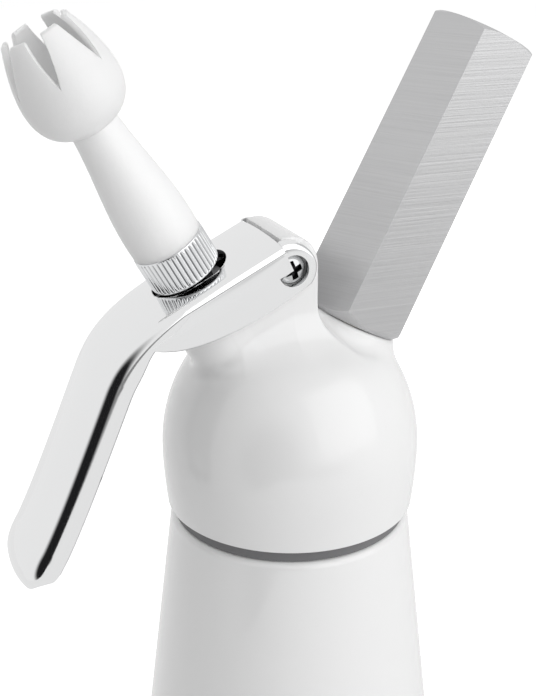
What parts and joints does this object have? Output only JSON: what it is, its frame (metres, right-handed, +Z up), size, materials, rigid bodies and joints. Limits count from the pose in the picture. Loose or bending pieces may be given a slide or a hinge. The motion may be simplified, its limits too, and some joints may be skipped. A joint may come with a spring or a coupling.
{
  "type": "whipped cream dispenser",
  "caption": "Hand-held pressure bottle with a screw-on cast head, a squeeze lever over a push-in valve, a tulip nozzle and a hexagonal gas charger holder.",
  "frame": {"origin": "middle of the bottle's foot, on the plane that it stands on", "axes": "+Z up along the bottle's axis; the lever and nozzle lean to -X and the charger holder leans to +X; Y is across the lever"},
  "size_m": [0.1391, 0.085, 0.2641],
  "materials": {
    "white_enamel": "gloss white enamel",
    "polished_metal": "polished",
    "satin_metal": "brushed crossways",
    "spring_steel": "drawn wire",
    "brass": "turned",
    "grey_seal": "matt",
    "dark_rubber": "matt",
    "white_plastic": "satin"
  },
  "bodies": {
    "bottle_body": {"bottle": "white_enamel"},
    "head": {"head_casting": "white_enamel", "collar_ring": "grey_seal", "head_gasket": "grey_seal", "pivot_bush": "brass", "pivot_screws": "polished_metal", "stem_o_ring": "dark_rubber", "gland_bush": "brass", "valve_spring": "spring_steel", "inlet_stub": "brass", "piercing_pin": "spring_steel", "charger_seal": "dark_rubber", "gas_check_valve": "dark_rubber", "check_valve_cage": "brass"},
    "lever": {"lever": "polished_metal"},
    "valve": {"valve_stem": "polished_metal", "valve_washer": "dark_rubber", "washer_nut": "spring_steel", "stem_collar": "polished_metal"},
    "nozzle": {"nozzle_adapter": "polished_metal", "adapter_seal": "dark_rubber", "nozzle_tip": "white_plastic"},
    "holder": {"charger_holder": "satin_metal"}
  },
  "joints": [
    {"name": "head_lift", "type": "slide", "parent": "bottle_body", "child": "head", "axis": [0, 0, 1], "range_m": [0, 0.06]},
    {"name": "lever_squeeze", "type": "hinge", "parent": "head", "child": "lever", "pos_m": [-0.0052, 0, 0.2033], "axis": [0, -1, 0], "range_deg": [0, 6.31], "stiffness_Nm_per_rad": 1.5, "springref_deg": -11.46},
    {"name": "valve_push", "type": "slide", "parent": "head", "child": "valve", "axis": [0.4909, 0, -0.8712], "range_m": [0, 0.0022], "deforming": ["valve_spring"]},
    {"name": "nozzle_off", "type": "slide", "parent": "valve", "child": "nozzle", "axis": [-0.4909, 0, 0.8712], "range_m": [0, 0.03]},
    {"name": "holder_off", "type": "slide", "parent": "head", "child": "holder", "axis": [0.4633, 0, 0.8862], "range_m": [0, 0.06]}
  ],
  "couplings": [
    {"joint": "valve_push", "follows": "lever_squeeze", "m_per_rad": 0.019966}
  ]
}
